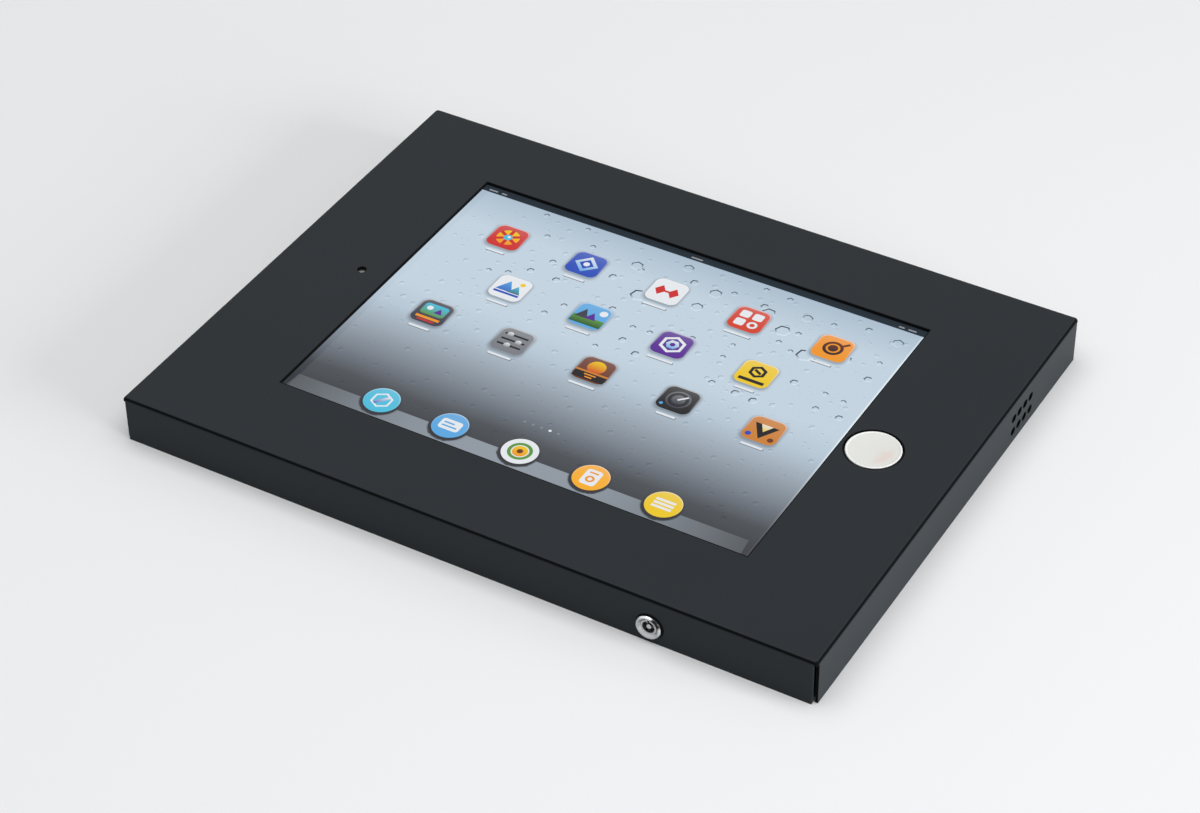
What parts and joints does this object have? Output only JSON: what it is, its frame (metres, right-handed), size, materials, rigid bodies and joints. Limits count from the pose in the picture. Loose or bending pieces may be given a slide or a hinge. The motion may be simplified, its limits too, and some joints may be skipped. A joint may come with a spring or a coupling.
{
  "type": "tablet wall mount",
  "caption": "Lockable steel wall mount for a tablet: folded front cover with screen window, pressed home button cap, side lock with cam, and a back plate that screws to the wall.",
  "frame": {"origin": "middle of the rear face of the back plate, in the wall plane", "axes": "+X along the long side towards the home button, +Y towards the hooked top side, +Z out of the screen, away from the wall"},
  "size_m": [0.29, 0.2212, 0.0195],
  "materials": {
    "black_powder_coat": "fine-textured anthracite powder coat on folded steel",
    "zinc_plated_steel": "bright zinc plate with fine rolling grain",
    "nickel_plate": "turned and polished nickel plate",
    "rivet_aluminium": "plain satin aluminium",
    "black_abs": "spark-eroded matt black moulding",
    "black_rubber": "matt black moulded rubber",
    "tablet_aluminium": "fine bead-blasted anodised aluminium",
    "white_glass": "white back-painted glass, polished",
    "screen_glass": null,
    "lens_glass": "dark coated lens window",
    "white_button": "smooth white button",
    "white_cap_plastic": "satin off-white moulded cap"
  },
  "bodies": {
    "wall_base": {"back_plate": "zinc_plated_steel", "strike_bracket": "zinc_plated_steel", "strike_rivets": "rivet_aluminium", "cradle_top_left": "black_abs", "cradle_top_right": "black_abs", "cradle_bottom_left": "black_abs", "cradle_bottom_right": "black_abs", "rear_rubber_pads": "black_rubber", "tablet_shell": "tablet_aluminium", "tablet_bezel": "white_glass", "tablet_display": "screen_glass", "tablet_camera": "lens_glass"},
    "cover": {"front_cover": "black_powder_coat", "front_rubber_strips": "black_rubber", "lock_housing": "nickel_plate", "lock_washer": "zinc_plated_steel", "lock_nut": "nickel_plate"},
    "lock_core": {"lock_plug": "nickel_plate", "lock_post": "nickel_plate", "cam_latch": "zinc_plated_steel", "cam_screw": "zinc_plated_steel"},
    "home_cap": {"home_button_cap": "white_cap_plastic"},
    "home_key": {"tablet_home_button": "white_button"}
  },
  "joints": [
    {"name": "cover_tilt", "type": "hinge", "parent": "wall_base", "child": "cover", "pos_m": [0, 0.11, 0], "axis": [-1, 0, 0], "range_deg": [0, 45]},
    {"name": "lock_turn", "type": "hinge", "parent": "cover", "child": "lock_core", "pos_m": [0.0798, -0.11, 0.007], "axis": [0, -1, 0], "range_deg": [0, 90]},
    {"name": "cap_press", "type": "slide", "parent": "cover", "child": "home_cap", "axis": [0, 0, -1], "range_m": [0, 0.00035], "stiffness_N_per_m": 800, "springref_m": -0.001},
    {"name": "key_press", "type": "slide", "parent": "wall_base", "child": "home_key", "axis": [0, 0, -1], "range_m": [0, 0.00035], "stiffness_N_per_m": 400, "springref_m": -0.001}
  ],
  "couplings": [
    {"joint": "key_press", "follows": "cap_press", "ratio": 1}
  ]
}
